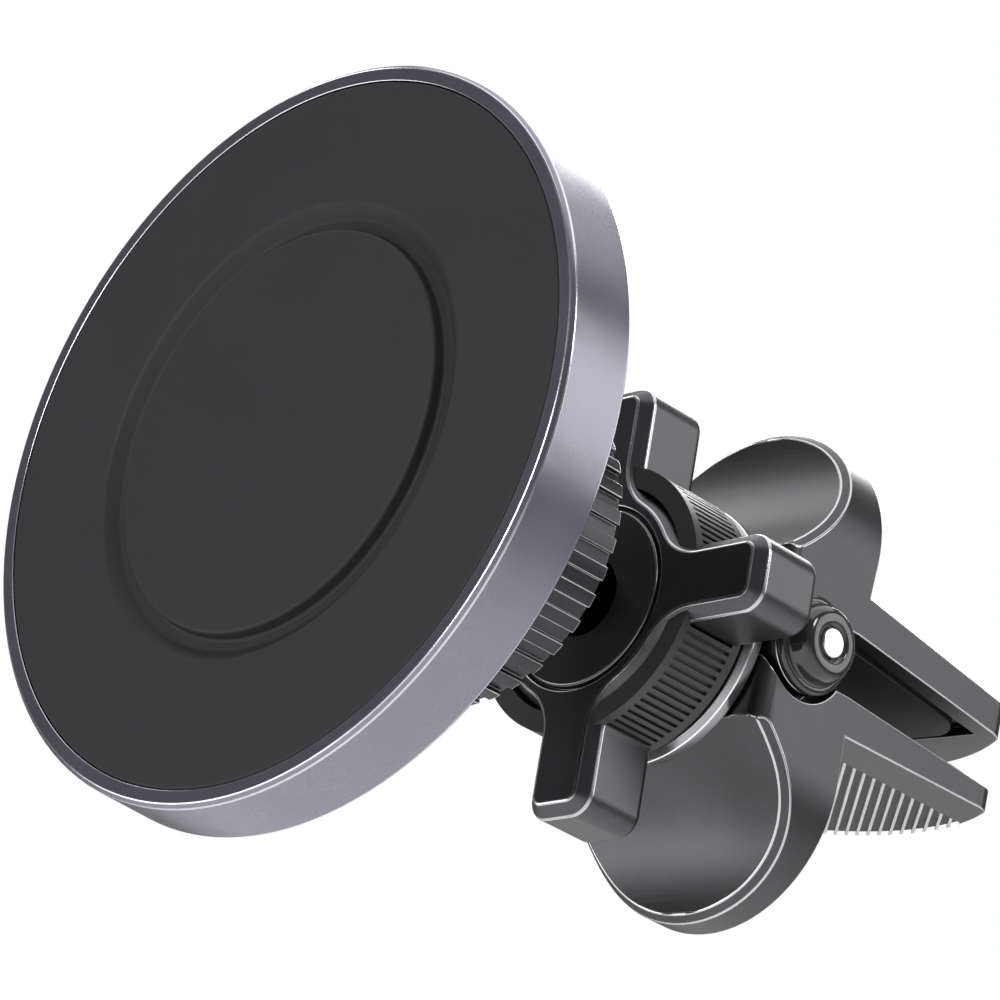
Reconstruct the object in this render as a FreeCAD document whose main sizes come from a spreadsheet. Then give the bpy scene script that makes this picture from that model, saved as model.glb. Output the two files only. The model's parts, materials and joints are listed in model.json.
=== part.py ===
import FreeCAD, Part
import math
import os
import re
import Sketcher

# A magnetic phone mount for a car's air vent.  The round head turns on a ball joint, a star-shaped
# hand wheel works the clip, and the clip's two levers close their jaws on a vent blade.
# "past" is how far a cutting shape runs beyond the solid that it cuts.
# Millimetres.  Origin: centre of the face that carries the phone.  That face looks along -Y, the
# jaws reach along +Y, +Z is up and +X is the right-hand side seen from the phone.

SIZES = {
    # head
    "rim_front": 30.0, "rim_back": 30.24, "rim_depth": 6.14, "rim_inner": 28.6, "rim_bevel": 0.35,
    "seat_gap": 0.05, "past": 1.0, "pad_thick": 1.6, "groove_in": 16.3, "groove_floor_in": 16.475,
    "groove_floor_out": 17.48, "groove_out": 18.6, "groove_depth": 1.0,
    "carrier_back": 4.6, "carrier_web": 0.8, "magnet_in": 22.6, "magnet_out": 27.0,
    "magnet_thick": 1.6, "magnet_count": 16, "magnet_gap_deg": 1.6,
    "cover_flat": 21.0, "cover_back": 8.4,
    "screw_circle": 16.6, "screw_count": 3, "screw_shank": 0.9, "screw_head": 1.8,
    "screw_head_thick": 1.1, "screw_bite": 2.0,
    # ball joint
    "ball_place": 17.5, "ball": 8.0, "cup": 10.4, "cup_back": 22.4, "cup_mouth": 7.2,
    "cup_flange": 12.6, "cup_flange_thick": 1.4, "liner_thick": 0.5, "liner_gap": 0.05,
    "nut_front": 12.6, "nut_back": 24.5, "nut_tip": 13.1, "nut_tooth": 0.45, "nut_teeth": 36,
    "nut_mouth": 9.3, "nut_lip": 1.5, "nut_rim": 1.0, "run_gap": 0.05, "neck": 3.0, "slit_wide": 0.9,
    "slit_start": 15.0, "slit_count": 6,
    "seat_ring_back": 6.9, "washer_front": 3.2, "washer_back": 0.9,
    # lock wheel
    "wheel_front": 34.8, "wheel_back": 41.7, "wheel_hub": 9.6, "lobe_count": 4, "lobe_reach": 18.2,
    "lobe_half": 3.25, "lobe_corner": 1.9, "lobe_flank": 3.6, "tip_round": 0.8,
    "wheel_bevel": 1.0, "wheel_turn_deg": 3.0,
    "hub_trim": 7.8, "hub_groove": 0.3, "hub_trim_thick": 1.1, "hub_trim_proud": 0.15, "neck_gap": 0.3,
    "grip": 11.3, "grip_front": 35.1, "slot_count": 100, "slot_wide": 0.32, "slot_deep": 0.35,
    "slot_border": 0.8, "insert_out": 6.6, "insert_back": 41.2, "insert_set_back": 0.4,
    # clip core
    "nose": 5.0, "nose_front": 36.2, "ring_front": 42.5, "ring_back": 43.9, "ring_out": 11.2,
    "ring_bevel": 0.5, "ring_gap": 0.2, "ring_boss": 8.0, "pivot_y": 48.25, "yoke_half": 6.3,
    "yoke_round": 5.2, "yoke_front": 44.5, "nose_bite": 0.2, "stem_back": 44.9, "stem_bite": 2.6,
    "spring_half": 3.0, "spring_room": 3.2, "spring_coil": 2.3, "spring_wire": 0.7, "spring_turns": 5.5,
    "leg": 0.33, "leg_long": 4.35, "leg_bite": 0.15, "pin": 1.2,
    "cap_flange": 4.0, "cap_flange_thick": 0.8, "cap_edge": 0.24, "cap_dome": 3.3, "cap_mid": 3.15,
    "cap_mid_tall": 1.79, "cap_top": 2.3, "cap_tall": 2.6,
    # levers
    "lever_half": 12.0, "lever_front": 44.2, "ear_outer_in": 9.25, "ear_inner_in": 6.6,
    "ear_side_gap": 0.25, "ear": 3.95, "notch_gap": 0.6, "hollow": 5.6, "hollow_top": 6.2,
    "gate_deep": 1.7, "front_split": 1.0, "pivot_split": 0.3, "split_run": 2.0,
    "wing_start_z": 7.2, "wing_mid_y": 49.3, "wing_mid_z": 12.6,
    "wing_tip_y": 51.75, "wing_tip_z": 22.2, "wing_reach": 21.15, "wing_back_tip": 55.0,
    "wing_back_root": 54.2, "wing_bevel": 0.6, "jaw_tip": 72.2, "jaw_apex": 75.8,
    "front_round": 1.5, "jaw_corner": 1.5,
    "upper_out_root": 6.3, "upper_out_tip": 3.25, "upper_in_root": 2.95, "upper_in_tip": 0.55,
    "lower_out_root": 5.5, "lower_out_tip": 5.25, "lower_in_root": 2.25, "lower_in_tip": 3.75,
    "jaw_root": 53.6,
    # jaw linings
    "lining_half": 9.6, "lining_thick": 1.0, "lining_start": 55.2, "lining_end": 70.6,
    "upper_lining_proud": 0.2, "lower_lining_proud": 0.0, "lining_gap": 0.5, "lining_corner": 3.0,
    "grip_half": 7.4, "grip_start": 57.0, "grip_recess": 0.6, "grip_rib": 0.26, "grip_pitch": 1.24,
    "grip_rise": 0.35, "grip_angle": 45.0,
}

NEAR = 1e-3
LEAST_VOLUME = 0.1

doc = FreeCAD.newDocument("vent_mount")
sheet = doc.addObject("Spreadsheet::Sheet", "Sizes")
for row, (alias, value) in enumerate(SIZES.items(), 1):
    sheet.set("A%d" % row, alias)
    sheet.set("B%d" % row, str(value))
    sheet.setAlias("B%d" % row, alias)
doc.recompute()

parts = []


def from_sheet(text):
    """The expression with each alias written as the sheet's own cell."""
    return re.sub(r"[a-z_]+", lambda word: ("Sizes." if word.group() in SIZES else "") + word.group(),
                  str(text))


def number(text):
    """The value of an expression on the sheet, for geometry's first guess."""
    return float(sheet.evalExpression(from_sheet(text)))


def bind(thing, **rules):
    """Set each property of thing from an expression; a double underscore stands for a dot."""
    for name, text in rules.items():
        thing.setExpression(name.replace("__", "."), from_sheet(text))


def keep(thing, label):
    """Mark an object as one of the finished pieces, under its node name."""
    thing.Label = label
    parts.append(thing)
    return thing


def body(label):
    return keep(doc.addObject("PartDesign::Body", label), label)


def sketch_on(owner, plane, name, offset="0"):
    """A new sketch on one of the body's own origin planes, moved along that plane's normal."""
    sketch = owner.newObject("Sketcher::SketchObject", name)
    face = next(item for item in owner.Origin.OriginFeatures if item.Role == plane)
    sketch.AttachmentSupport = [(face, "")]
    sketch.MapMode = "FlatFace"
    bind(sketch, AttachmentOffset__Base__z=offset)
    return sketch


def pin_point(sketch, edge, end, place):
    """Fix one end of an edge at a place given by two expressions."""
    for kind, text in zip(("DistanceX", "DistanceY"), place):
        index = sketch.addConstraint(Sketcher.Constraint(kind, -1, 1, edge, end, number(text)))
        sketch.setExpression("Constraints[%d]" % index, from_sheet(text))


def outline(sketch, corners):
    """A closed outline.  A corner is (x, y); ("arc", x, y) is a point that an arc passes through."""
    points = [FreeCAD.Vector(number(c[-2]), number(c[-1]), 0) for c in corners]
    ends = [i for i, c in enumerate(corners) if c[0] != "arc"]
    for place, i in enumerate(ends):
        j = ends[(place + 1) % len(ends)]
        middle = (i + 1) % len(corners)
        if middle == j:
            edge = sketch.addGeometry(Part.LineSegment(points[i], points[j]))
            first, last = 1, 2
        else:
            arc = Part.Arc(points[i], points[middle], points[j])
            edge = sketch.addGeometry(arc)
            turn = (points[middle] - points[i]).cross(points[j] - points[middle]).z
            first, last = (1, 2) if turn > 0 else (2, 1)
            on_arc = sketch.addGeometry(Part.Point(points[middle]), True)
            pin_point(sketch, on_arc, 1, corners[middle][1:])
            sketch.addConstraint(Sketcher.Constraint("PointOnObject", on_arc, 1, edge))
        pin_point(sketch, edge, first, corners[i])
        pin_point(sketch, edge, last, corners[j])
    return sketch


def circle(sketch, radius, x="0", y="0"):
    """A full circle with its centre at (x, y)."""
    centre = FreeCAD.Vector(number(x), number(y), 0)
    edge = sketch.addGeometry(Part.Circle(centre, FreeCAD.Vector(0, 0, 1), number(radius)))
    pin_point(sketch, edge, 3, (x, y))
    index = sketch.addConstraint(Sketcher.Constraint("Radius", edge, number(radius)))
    sketch.setExpression("Constraints[%d]" % index, from_sheet(radius))
    return sketch


def feature(owner, kind, name, sketch, **rules):
    """A PartDesign feature on a sketch, with its sizes bound to the sheet."""
    made = owner.newObject("PartDesign::" + kind, name)
    made.Profile = sketch
    bind(made, **rules)
    return made


def turned(label, corners):
    """A piece of revolution about Y: the outline gives radius first and then depth."""
    owner = body(label)
    sketch = outline(sketch_on(owner, "XY_Plane", label + "_outline"), corners)
    made = owner.newObject("PartDesign::Revolution", label + "_turned")
    made.Profile = sketch
    made.ReferenceAxis = (sketch, ["V_Axis"])
    made.Angle = 360
    return owner


def slab(owner, name, kind, corners, depth, plane="YZ_Plane", offset="0"):
    """Pad or Pocket an outline by depth, half to each side of its plane."""
    sketch = outline(sketch_on(owner, plane, name + "_outline", offset), corners)
    made = feature(owner, kind, name, sketch, Length=depth)
    made.SideType = "Symmetric"
    return made


def drum(owner, name, kind, radius, depth, plane="YZ_Plane", x="0", y="0", offset="0"):
    """Pad or Pocket a circle by depth, half to each side of its plane."""
    sketch = circle(sketch_on(owner, plane, name + "_circle", offset), radius, x, y)
    made = feature(owner, kind, name, sketch, Length=depth)
    made.SideType = "Symmetric"
    return made


def around(owner, features, name, count):
    """Repeat features evenly about the body's Y axis."""
    pattern = owner.newObject("PartDesign::PolarPattern", name)
    pattern.Originals = features
    axis = next(item for item in owner.Origin.OriginFeatures if item.Role == "Y_Axis")
    pattern.Axis = (axis, [""])
    pattern.Angle = 360
    bind(pattern, Occurrences=count)
    owner.Tip = pattern
    return pattern


def edges_where(shape, test):
    """Names of the edges that pass the test at five points along them."""
    return ["Edge%d" % i for i, edge in enumerate(shape.Edges, 1)
            if all(test(point) for point in edge.discretize(5))]


def ease(owner, kind, name, test, size):
    """Chamfer or Fillet the edges of the body's last feature that pass the test."""
    doc.recompute()
    base = owner.Tip
    made = owner.newObject("PartDesign::" + kind, name)
    made.Base = (base, edges_where(base.Shape, test))
    bind(made, **{"Size" if kind == "Chamfer" else "Radius": size})
    owner.Tip = made
    return made


def rod(name, radius, front, back):
    """A cylinder along Y from depth front to depth back."""
    made = doc.addObject("Part::Cylinder", name)
    made.Placement.Rotation = FreeCAD.Rotation(FreeCAD.Vector(1, 0, 0), -90)
    bind(made, Radius=radius, Height="(%s) - (%s)" % (back, front), Placement__Base__y=front)
    return made


def turn_about_y(thing, angle):
    """Turn a finished object about the Y axis by an angle in degrees."""
    thing.Placement.Rotation = FreeCAD.Rotation(FreeCAD.Vector(0, 1, 0), 1)
    bind(thing, Placement__Rotation__Angle=angle)


def joined(kind, name, base, tool):
    made = doc.addObject("Part::" + kind, name)
    made.Base = base
    made.Tool = tool
    return made


# ---- head ----

turned("face_pad", [
    ("0", "0"), ("groove_in", "0"), ("groove_floor_in", "groove_depth"),
    ("groove_floor_out", "groove_depth"), ("groove_out", "0"),
    ("rim_inner - seat_gap", "0"), ("rim_inner - seat_gap", "pad_thick"), ("0", "pad_thick")])

turned("bezel_ring", [
    ("rim_inner", "0"), ("rim_front - rim_bevel", "0"), ("rim_front", "rim_bevel"),
    ("rim_back", "rim_depth - rim_bevel"), ("rim_back - rim_bevel", "rim_depth"),
    ("rim_inner", "rim_depth")])

turned("magnet_carrier", [
    ("0", "pad_thick"), ("rim_inner - seat_gap", "pad_thick"), ("rim_inner - seat_gap", "carrier_back"),
    ("magnet_out + seat_gap", "carrier_back"), ("magnet_out + seat_gap", "pad_thick + carrier_web"),
    ("magnet_in - seat_gap", "pad_thick + carrier_web"), ("magnet_in - seat_gap", "carrier_back"),
    ("0", "carrier_back")])

carrier = parts[-1]
holes = sketch_on(carrier, "XZ_Plane", "carrier_screw_circle", "-(carrier_back)")
circle(holes, "screw_shank", "0", "screw_circle")
bite = feature(carrier, "Pocket", "carrier_screw_hole", holes, Length="screw_bite + seat_gap")
bite.Reversed = True
around(carrier, [bite], "carrier_screw_holes", "screw_count")

magnet_front = "pad_thick + carrier_web"
magnet = doc.addObject("Part::Cut", "magnet_blank")
magnet.Base = rod("magnet_outer", "magnet_out", magnet_front, magnet_front + " + magnet_thick")
magnet.Tool = rod("magnet_inner", "magnet_in", magnet_front, magnet_front + " + magnet_thick")
gap = doc.addObject("Part::Box", "magnet_gap")
bind(gap, Length="magnet_out * 2", Width="magnet_thick",
     Height="magnet_out * 2 * tan(magnet_gap_deg / 2 * 1 deg)",
     Placement__Base__y=magnet_front, Placement__Base__z="-magnet_out * tan(magnet_gap_deg / 2 * 1 deg)",
     Placement__Base__x="0")
doc.recompute()
ring = magnet.Shape
for step in range(int(SIZES["magnet_count"])):
    slot = gap.Shape.copy()
    slot.rotate(FreeCAD.Vector(0, 0, 0), FreeCAD.Vector(0, 1, 0), 360.0 * step / SIZES["magnet_count"])
    ring = ring.cut(slot)
magnets = doc.addObject("Part::Feature", "ring_magnets")
magnets.Shape = ring
keep(magnets, "ring_magnets")

turned("shield_plate", [
    ("magnet_in", magnet_front + " + magnet_thick"), ("magnet_out", magnet_front + " + magnet_thick"),
    ("magnet_out", "carrier_back"), ("magnet_in", "carrier_back")])

turned("back_cover", [
    ("cup + seat_gap", "carrier_back + cup_flange_thick"),
    ("cup_flange + seat_gap", "carrier_back + cup_flange_thick"), ("cup_flange + seat_gap", "carrier_back"),
    ("rim_inner - seat_gap", "carrier_back"), ("rim_inner - seat_gap", "rim_depth"),
    ("cover_flat", "cover_back"), ("cup + seat_gap", "cover_back")])
cover = parts[-1]
heads = circle(sketch_on(cover, "XZ_Plane", "head_circle", "-(cover_back)"), "screw_head + seat_gap", "0",
               "screw_circle")
seat = feature(cover, "Pocket", "head_seat", heads, Length="screw_head_thick")
seat.Reversed = True
around(cover, [seat], "head_seats", "screw_count")
shanks = circle(sketch_on(cover, "XZ_Plane", "shank_circle", "-(cover_back)"), "screw_shank + seat_gap", "0",
                "screw_circle")
shaft = feature(cover, "Pocket", "shank_hole", shanks, Length="cover_back")
shaft.Reversed = True
around(cover, [shaft], "shank_holes", "screw_count")

screws = body("cover_screws")
screw_features = []
for name, radius, depth in (("screw_head", "screw_head", "screw_head_thick"),
                            ("screw_shank", "screw_shank", "cover_back - carrier_back + screw_bite")):
    disc = circle(sketch_on(screws, "XZ_Plane", name + "_circle", "-(cover_back)"), radius, "0",
                  "screw_circle")
    screw_features.append(feature(screws, "Pad", name, disc, Length=depth))
around(screws, screw_features, "all_screws", "screw_count")

# ---- ball joint ----

cavity = "ball + liner_thick + 2 * liner_gap"


def sphere(name, radius):
    """A full sphere about the ball's centre."""
    made = doc.addObject("Part::Sphere", name)
    bind(made, Radius=radius, Placement__Base__y="ball_place")
    return made


socket = turned("ball_socket", [
    ("0", "carrier_back"), ("cup_flange", "carrier_back"), ("cup_flange", "carrier_back + cup_flange_thick"),
    ("cup", "carrier_back + cup_flange_thick"), ("cup", "cup_back"), ("cup_mouth", "cup_back"),
    ("cup_mouth", "ball_place + sqrt((%s) ^ 2 - cup_mouth ^ 2)" % cavity), ("arc", cavity, "ball_place"),
    ("0", "ball_place - (%s)" % cavity)])
slit = outline(sketch_on(socket, "XZ_Plane", "slit_outline", "-(cup_back)"), [
    ("0", "-slit_wide / 2"), ("cup + past", "-slit_wide / 2"), ("cup + past", "slit_wide / 2"),
    ("0", "slit_wide / 2")])
slit_cut = feature(socket, "Pocket", "slit", slit, Length="cup_back - slit_start")
slit_cut.Reversed = True
around(socket, [slit_cut], "slits", "slit_count")


def liner(label, front, back):
    """A band of the thin shell between ball and socket."""
    shell = joined("Cut", label + "_shell", sphere(label + "_outside", "ball + liner_gap + liner_thick"),
                   sphere(label + "_inside", "ball + liner_gap"))
    return keep(joined("Common", label, shell, rod(label + "_band", "cup", front, back)), label)


liner("seat_ring", "ball_place - ball", "ball_place - seat_ring_back")
liner("friction_washer", "ball_place - washer_front", "ball_place - washer_back")

ball = sphere("ball_solid", "ball")
neck = joined("Fuse", "ball_and_neck", ball, rod("neck_rod", "neck", "ball_place", "nose_front"))
keep(joined("Fuse", "ball_stud", neck, rod("stem_rod", "stem_bite", "nose_front", "stem_back")), "ball_stud")

nut = turned("socket_nut", [
    ("cup + run_gap", "nut_front"), ("nut_tip - nut_tooth", "nut_front"),
    ("nut_tip", "nut_front + nut_tooth"), ("nut_tip", "nut_back - nut_tooth / 3"),
    ("nut_tip - nut_tooth / 3", "nut_back"), ("nut_mouth", "nut_back"),
    ("nut_mouth", "nut_back - nut_lip"), ("cup + run_gap", "nut_back - nut_lip")])
tooth_half = "nut_tip * sin(90 deg / nut_teeth)"
tooth_gap = outline(sketch_on(nut, "XZ_Plane", "tooth_gap", "-(nut_back)"), [
    ("-(%s)" % tooth_half, "nut_tip - nut_tooth"), (tooth_half, "nut_tip - nut_tooth"),
    (tooth_half, "nut_tip + past"), ("-(%s)" % tooth_half, "nut_tip + past")])
gap_cut = feature(nut, "Pocket", "tooth_gap_cut", tooth_gap, Length="nut_back - nut_front - nut_rim")
gap_cut.Reversed = True
around(nut, [gap_cut], "tooth_gaps", "nut_teeth")

# ---- lock wheel ----

star = body("star_wheel")
feature(star, "Pad", "star_hub", circle(sketch_on(star, "XZ_Plane", "star_hub_circle", "-(wheel_back)"),
                                        "wheel_hub"), Length="wheel_back - wheel_front")
lobe = outline(sketch_on(star, "XZ_Plane", "lobe_outline", "-(wheel_back)"), [
    ("0", "-lobe_half"), ("lobe_reach", "-lobe_half"), ("lobe_reach", "lobe_half"), ("0", "lobe_half")])
lobe_pad = feature(star, "Pad", "lobe", lobe, Length="wheel_back - wheel_front")
around(star, [lobe_pad], "lobes", "lobe_count")


def reach(point):
    """Distance of a point from the Y axis."""
    return math.hypot(point.x, point.z)


def upright(low, high):
    """A test for edges along Y whose distance from the axis lies between low and high."""
    return lambda point: number(low) < reach(point) < number(high)


def standing(shape, test):
    """Names of the edges that run along Y and pass the test."""
    names = edges_where(shape, test)
    return [name for name in names
            if abs(abs(shape.getElement(name).tangentAt(shape.getElement(name).FirstParameter).y) - 1) < NEAR]


def round_uprights(owner, name, low, high, size):
    """Fillet the edges along Y between two distances from the axis."""
    doc.recompute()
    base = owner.Tip
    made = owner.newObject("PartDesign::Fillet", name)
    made.Base = (base, standing(base.Shape, upright(low, high)))
    bind(made, Radius=size)
    owner.Tip = made


round_uprights(star, "flank_rounds", "wheel_hub - seat_gap", "wheel_hub + seat_gap", "lobe_flank")
round_uprights(star, "tip_rounds", "lobe_reach", "lobe_reach + lobe_half", "lobe_corner")
ease(star, "Chamfer", "front_bevel", lambda p: abs(p.y - number("wheel_front")) < NEAR, "wheel_bevel")
ease(star, "Fillet", "back_tips", lambda p: abs(p.y - number("wheel_back")) < NEAR
     and reach(p) > number("lobe_reach - lobe_corner"), "tip_round")
trim_seat = circle(sketch_on(star, "XZ_Plane", "trim_seat_circle", "-(wheel_front)"), "hub_trim")
feature(star, "Pocket", "trim_seat", trim_seat, Length="hub_trim_thick")
insert_hole = circle(sketch_on(star, "XZ_Plane", "insert_hole_circle", "-(wheel_front)"), "insert_out")
feature(star, "Pocket", "insert_hole", insert_hole, Length="wheel_back - wheel_front")
turn_about_y(star, "-wheel_turn_deg")

turned("hub_trim", [
    ("neck + neck_gap", "wheel_front - hub_trim_proud"),
    ("hub_trim - hub_groove - hub_trim_proud", "wheel_front - hub_trim_proud"),
    ("hub_trim - hub_groove", "wheel_front"), ("hub_trim - hub_groove", "wheel_front + hub_trim_thick / 2"),
    ("hub_trim", "wheel_front + hub_trim_thick / 2"), ("hub_trim", "wheel_front + hub_trim_thick"),
    ("neck + neck_gap", "wheel_front + hub_trim_thick")])

grip_blank = turned("grip_blank", [
    ("wheel_hub", "grip_front"), ("grip", "grip_front"), ("grip", "wheel_back"), ("wheel_hub", "wheel_back")])
parts.remove(grip_blank)
slot = outline(sketch_on(grip_blank, "XZ_Plane", "slot_outline", "-(wheel_back - slot_border)"), [
    ("-slot_wide / 2", "grip - slot_deep"), ("slot_wide / 2", "grip - slot_deep"),
    ("slot_wide / 2", "grip + past"),
    ("-slot_wide / 2", "grip + past")])
slot_cut = feature(grip_blank, "Pocket", "slot_cut", slot, Length="wheel_back - grip_front - 2 * slot_border")
slot_cut.Reversed = True
around(grip_blank, [slot_cut], "slots", "slot_count")
keep(joined("Cut", "grip_panels", grip_blank, star), "grip_panels")

insert_front = "wheel_front + hub_trim_thick + insert_set_back"
turned("thread_insert", [
    ("nose + run_gap", insert_front), ("insert_out", insert_front),
    ("insert_out", "insert_back"), ("nose + run_gap", "insert_back")])

turned("thrust_ring", [
    ("nose + run_gap", "wheel_back + ring_gap"), ("ring_boss", "wheel_back + ring_gap"),
    ("ring_boss", "ring_front"), ("ring_out - ring_bevel", "ring_front"),
    ("ring_out", "ring_front + ring_bevel"),
    ("ring_out", "ring_back"), ("nose + run_gap", "ring_back")])

# ---- clip core ----

pivot = FreeCAD.Vector(0, SIZES["pivot_y"], 0)


def bar(name, radius, half, y="pivot_y"):
    """A cylinder along X, half to each side of the middle plane."""
    made = doc.addObject("Part::Cylinder", name)
    made.Placement.Rotation = FreeCAD.Rotation(FreeCAD.Vector(0, 1, 0), 90)
    bind(made, Radius=radius, Height="2 * (%s)" % half, Placement__Base__y=y,
         Placement__Base__x="-(%s)" % half)
    return made


yoke = body("yoke_block")
parts.remove(yoke)
drum(yoke, "yoke_round", "Pad", "yoke_round", "2 * yoke_half", x="pivot_y")
slab(yoke, "yoke_flat", "Pocket", [
    ("pivot_y - yoke_round - past", "-yoke_round"), ("yoke_front", "-yoke_round"),
    ("yoke_front", "yoke_round"),
    ("pivot_y - yoke_round - past", "yoke_round")], "2 * yoke_half + past")
slab(yoke, "spring_room", "Pocket", [
    ("pivot_y - spring_room", "-spring_room"), ("pivot_y + yoke_round + past", "-spring_room"),
    ("pivot_y + yoke_round + past", "spring_room"), ("pivot_y - spring_room", "spring_room")],
    "2 * spring_half")
core = joined("Fuse", "core_with_nose", yoke, rod("nose_rod", "nose", "nose_front", "yoke_front + nose_bite"))
core = joined("Cut", "core_stem_hole", core, rod("stem_hole", "stem_bite", "nose_front - past", "stem_back"))
keep(joined("Cut", "clip_yoke", core, bar("yoke_pin_hole", "pin", "yoke_half + past")), "clip_yoke")

keep(bar("pivot_pin", "pin", "lever_half + cap_tall"), "pivot_pin")

for label, side in (("right_pivot_cap", 1), ("left_pivot_cap", -1)):
    cap = turned(label, [
        ("pin", "0"), ("cap_flange", "0"), ("cap_flange", "cap_flange_thick - cap_edge"),
        ("cap_flange - cap_edge", "cap_flange_thick"), ("cap_dome", "cap_flange_thick"),
        ("arc", "cap_mid", "cap_mid_tall"),
        ("cap_top", "cap_tall"), ("pin", "cap_tall")])
    cap.Placement.Rotation = FreeCAD.Rotation(FreeCAD.Vector(0, 0, 1), -90 * side)
    bind(cap, Placement__Base__x="%d * lever_half" % side, Placement__Base__y="pivot_y")

# The torsion spring sits round the pin inside the yoke, and both its legs reach back between the jaws.
coil_pitch = 2 * (SIZES["spring_half"] - SIZES["spring_wire"]) / SIZES["spring_turns"]
coil_long = coil_pitch * SIZES["spring_turns"]
coil = Part.makeHelix(coil_pitch, coil_long, SIZES["spring_coil"])
section = Part.Wire(Part.makeCircle(SIZES["spring_wire"] / 2, FreeCAD.Vector(SIZES["spring_coil"], 0, 0),
                                    FreeCAD.Vector(0, 1, 0)))
sweep = Part.BRepOffsetAPI.MakePipeShell(Part.Wire(coil.Edges))
sweep.setFrenetMode(True)
sweep.add(section)
sweep.build()
sweep.makeSolid()
wire = sweep.shape()
for height, side in ((0, 1), (coil_long, -1)):
    leg = Part.makeCylinder(SIZES["leg"], SIZES["leg_long"],
                            FreeCAD.Vector(side * SIZES["spring_coil"], SIZES["leg_bite"], height),
                            FreeCAD.Vector(0, -1, 0))
    wire = wire.fuse(leg)
spring = doc.addObject("Part::Feature", "torsion_spring")
spring.Shape = wire
spring.Placement = FreeCAD.Placement(
    pivot - FreeCAD.Vector(coil_long / 2, 0, 0),
    FreeCAD.Rotation(FreeCAD.Vector(0, 0, 1), FreeCAD.Vector(0, -1, 0), FreeCAD.Vector(1, 0, 0), "ZXY"))
keep(spring, "torsion_spring")

# ---- levers ----

wing_points = [FreeCAD.Vector(0, SIZES[y], SIZES[z]) for y, z in (
    ("lever_front", "wing_start_z"), ("wing_mid_y", "wing_mid_z"), ("wing_tip_y", "wing_tip_z"))]
scoop = Part.Arc(*wing_points).toShape().Curve
scoop_centre, scoop_radius = scoop.Center, scoop.Radius


def slope(root, tip, y):
    """Height of a jaw's straight edge at depth y, given its heights at the root and past the tip."""
    return "(%s + (%s - %s) * (%s - jaw_root) / (jaw_apex + past - jaw_root))" % (root, tip, root, y)


def on_wing_rim(point):
    """True for a point on the rim of a wing's scooped face, on either lever."""
    high = abs(point.z)
    on_scoop = abs(math.hypot(point.y - scoop_centre.y, high - scoop_centre.z) - scoop_radius) < NEAR
    half = SIZES["lever_half"]
    round_start = SIZES["wing_reach"] - half
    on_side = abs(abs(point.x) - half) < NEAR and high < round_start + NEAR
    on_round = high > round_start - NEAR and abs(math.hypot(point.x, high - round_start) - half) < NEAR
    return on_scoop and (on_side or on_round)


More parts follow.
